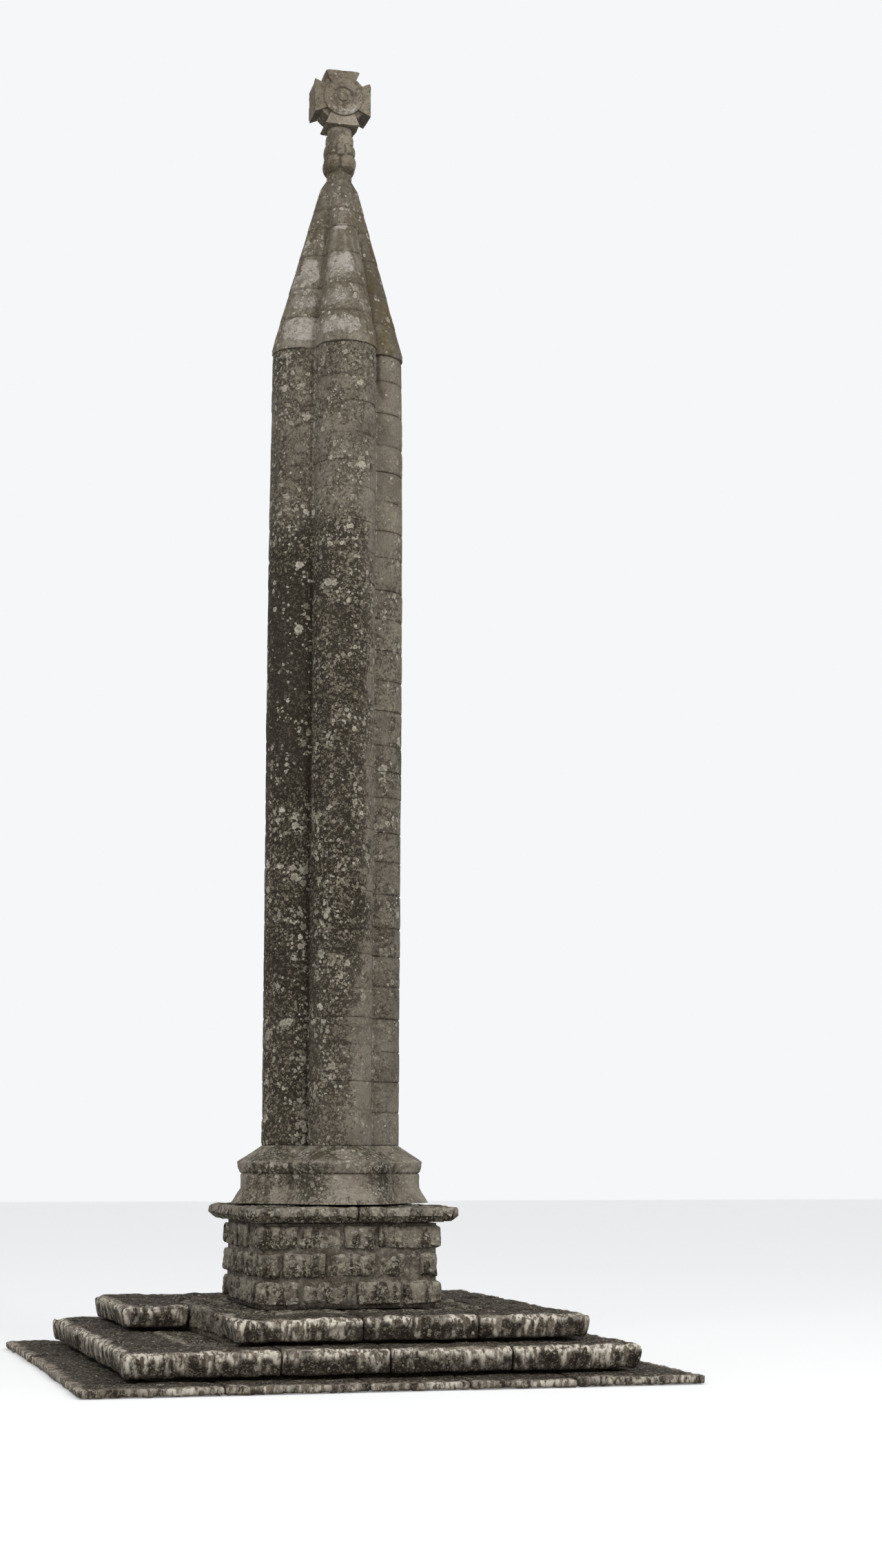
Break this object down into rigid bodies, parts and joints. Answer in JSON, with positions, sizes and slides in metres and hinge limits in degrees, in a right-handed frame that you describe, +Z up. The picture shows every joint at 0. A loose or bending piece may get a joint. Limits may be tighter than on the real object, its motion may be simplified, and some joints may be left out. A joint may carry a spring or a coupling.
{
  "type": "hosanna cross",
  "caption": "Tall hosanna cross: a shaft of four joined half columns on a stepped platform, under a lobed stone cone with a thick cross.",
  "frame": {"origin": "on the ground, under the middle of the platform and shaft", "axes": "+Z up; -Y is the front of the platform; +X is to its right, seen from the front"},
  "size_m": [4.6, 4.6, 10.764],
  "materials": {
    "step_stone": "worn, with lichen and moss",
    "core_rubble": "rough rubble",
    "rough_masonry": "rough, with white lichen",
    "base_stone": "weathered, speckled with lichen",
    "shaft_stone": "weathered ashlar with lichen rosettes",
    "cap_stone": "weathered, streaked",
    "carved_stone": "weathered carving"
  },
  "bodies": {
    "root": {"base_foot": "base_stone", "base_slope": "base_stone", "cap_course_1": "cap_stone", "cap_course_2": "cap_stone", "cap_course_3": "cap_stone", "cap_course_4": "cap_stone", "cap_course_5": "cap_stone", "cap_course_6": "cap_stone", "cap_neck": "cap_stone", "cross": "carved_stone", "knop": "carved_stone", "lower_step_back": "step_stone", "lower_step_front": "step_stone", "lower_step_left": "step_stone", "lower_step_right": "step_stone", "middle_step_back": "step_stone", "middle_step_front": "step_stone", "middle_step_left": "step_stone", "middle_step_right": "step_stone", "pedestal_block": "rough_masonry", "pedestal_slab": "step_stone", "platform_core": "core_rubble", "shaft_courses_01": "shaft_stone", "shaft_courses_02": "shaft_stone", "shaft_courses_03": "shaft_stone", "shaft_courses_04": "shaft_stone", "shaft_courses_05": "shaft_stone", "shaft_courses_06": "shaft_stone", "shaft_courses_07": "shaft_stone", "shaft_courses_08": "shaft_stone", "shaft_courses_09": "shaft_stone", "shaft_courses_10": "shaft_stone", "shaft_courses_11": "shaft_stone", "shaft_courses_12": "shaft_stone", "shaft_courses_13": "shaft_stone", "upper_step_back": "step_stone", "upper_step_front": "step_stone", "upper_step_left": "step_stone", "upper_step_right": "step_stone"}
  },
  "joints": []
}
